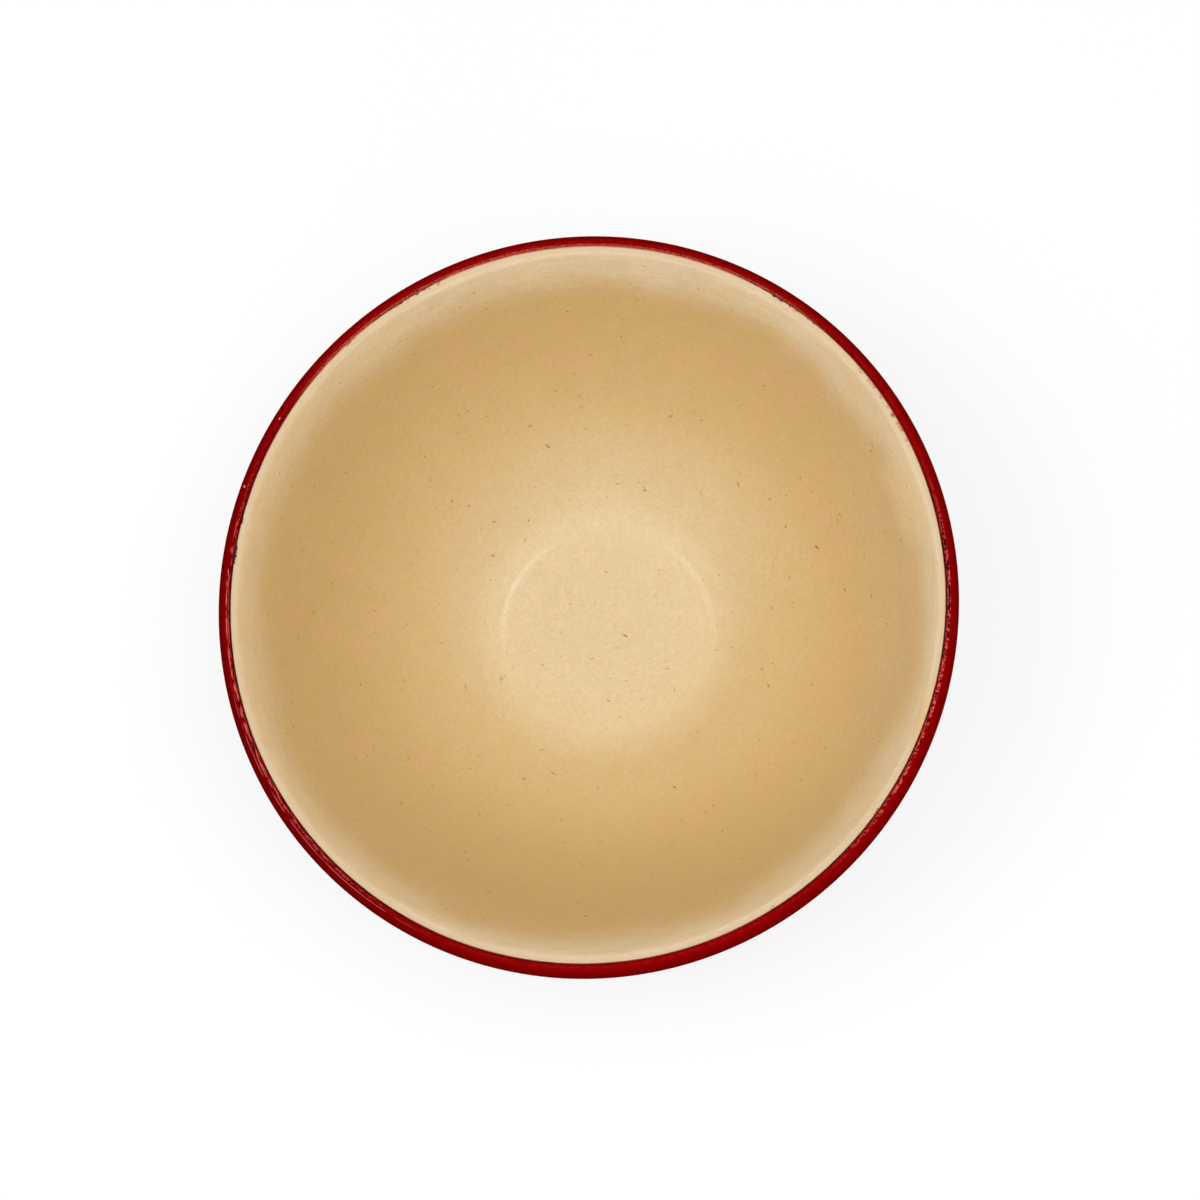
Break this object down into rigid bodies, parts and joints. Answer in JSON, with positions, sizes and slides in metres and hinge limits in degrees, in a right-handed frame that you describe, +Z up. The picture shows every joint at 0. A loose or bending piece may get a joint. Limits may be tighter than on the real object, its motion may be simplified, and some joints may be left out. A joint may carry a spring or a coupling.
{
  "type": "soup bowl",
  "caption": "Round deep soup bowl on a foot ring: a red outer shell with a rolled rim, and a speckled cream liner bonded inside it.",
  "frame": {"origin": "on the table, at the centre of the foot ring's bottom face", "axes": "+Z up along the bowl's axis of revolution, out of its mouth; X and Y are alike"},
  "size_m": [0.15, 0.15, 0.075],
  "materials": {
    "red_fibre": "pressed plant fibre and resin, deep red, satin gloss with a fine orange peel",
    "cream_fibre": "pressed plant fibre and resin, cream, satin, with brown fibre specks"
  },
  "bodies": {
    "root": {"outer_shell": "red_fibre", "inner_liner": "cream_fibre"}
  },
  "joints": []
}
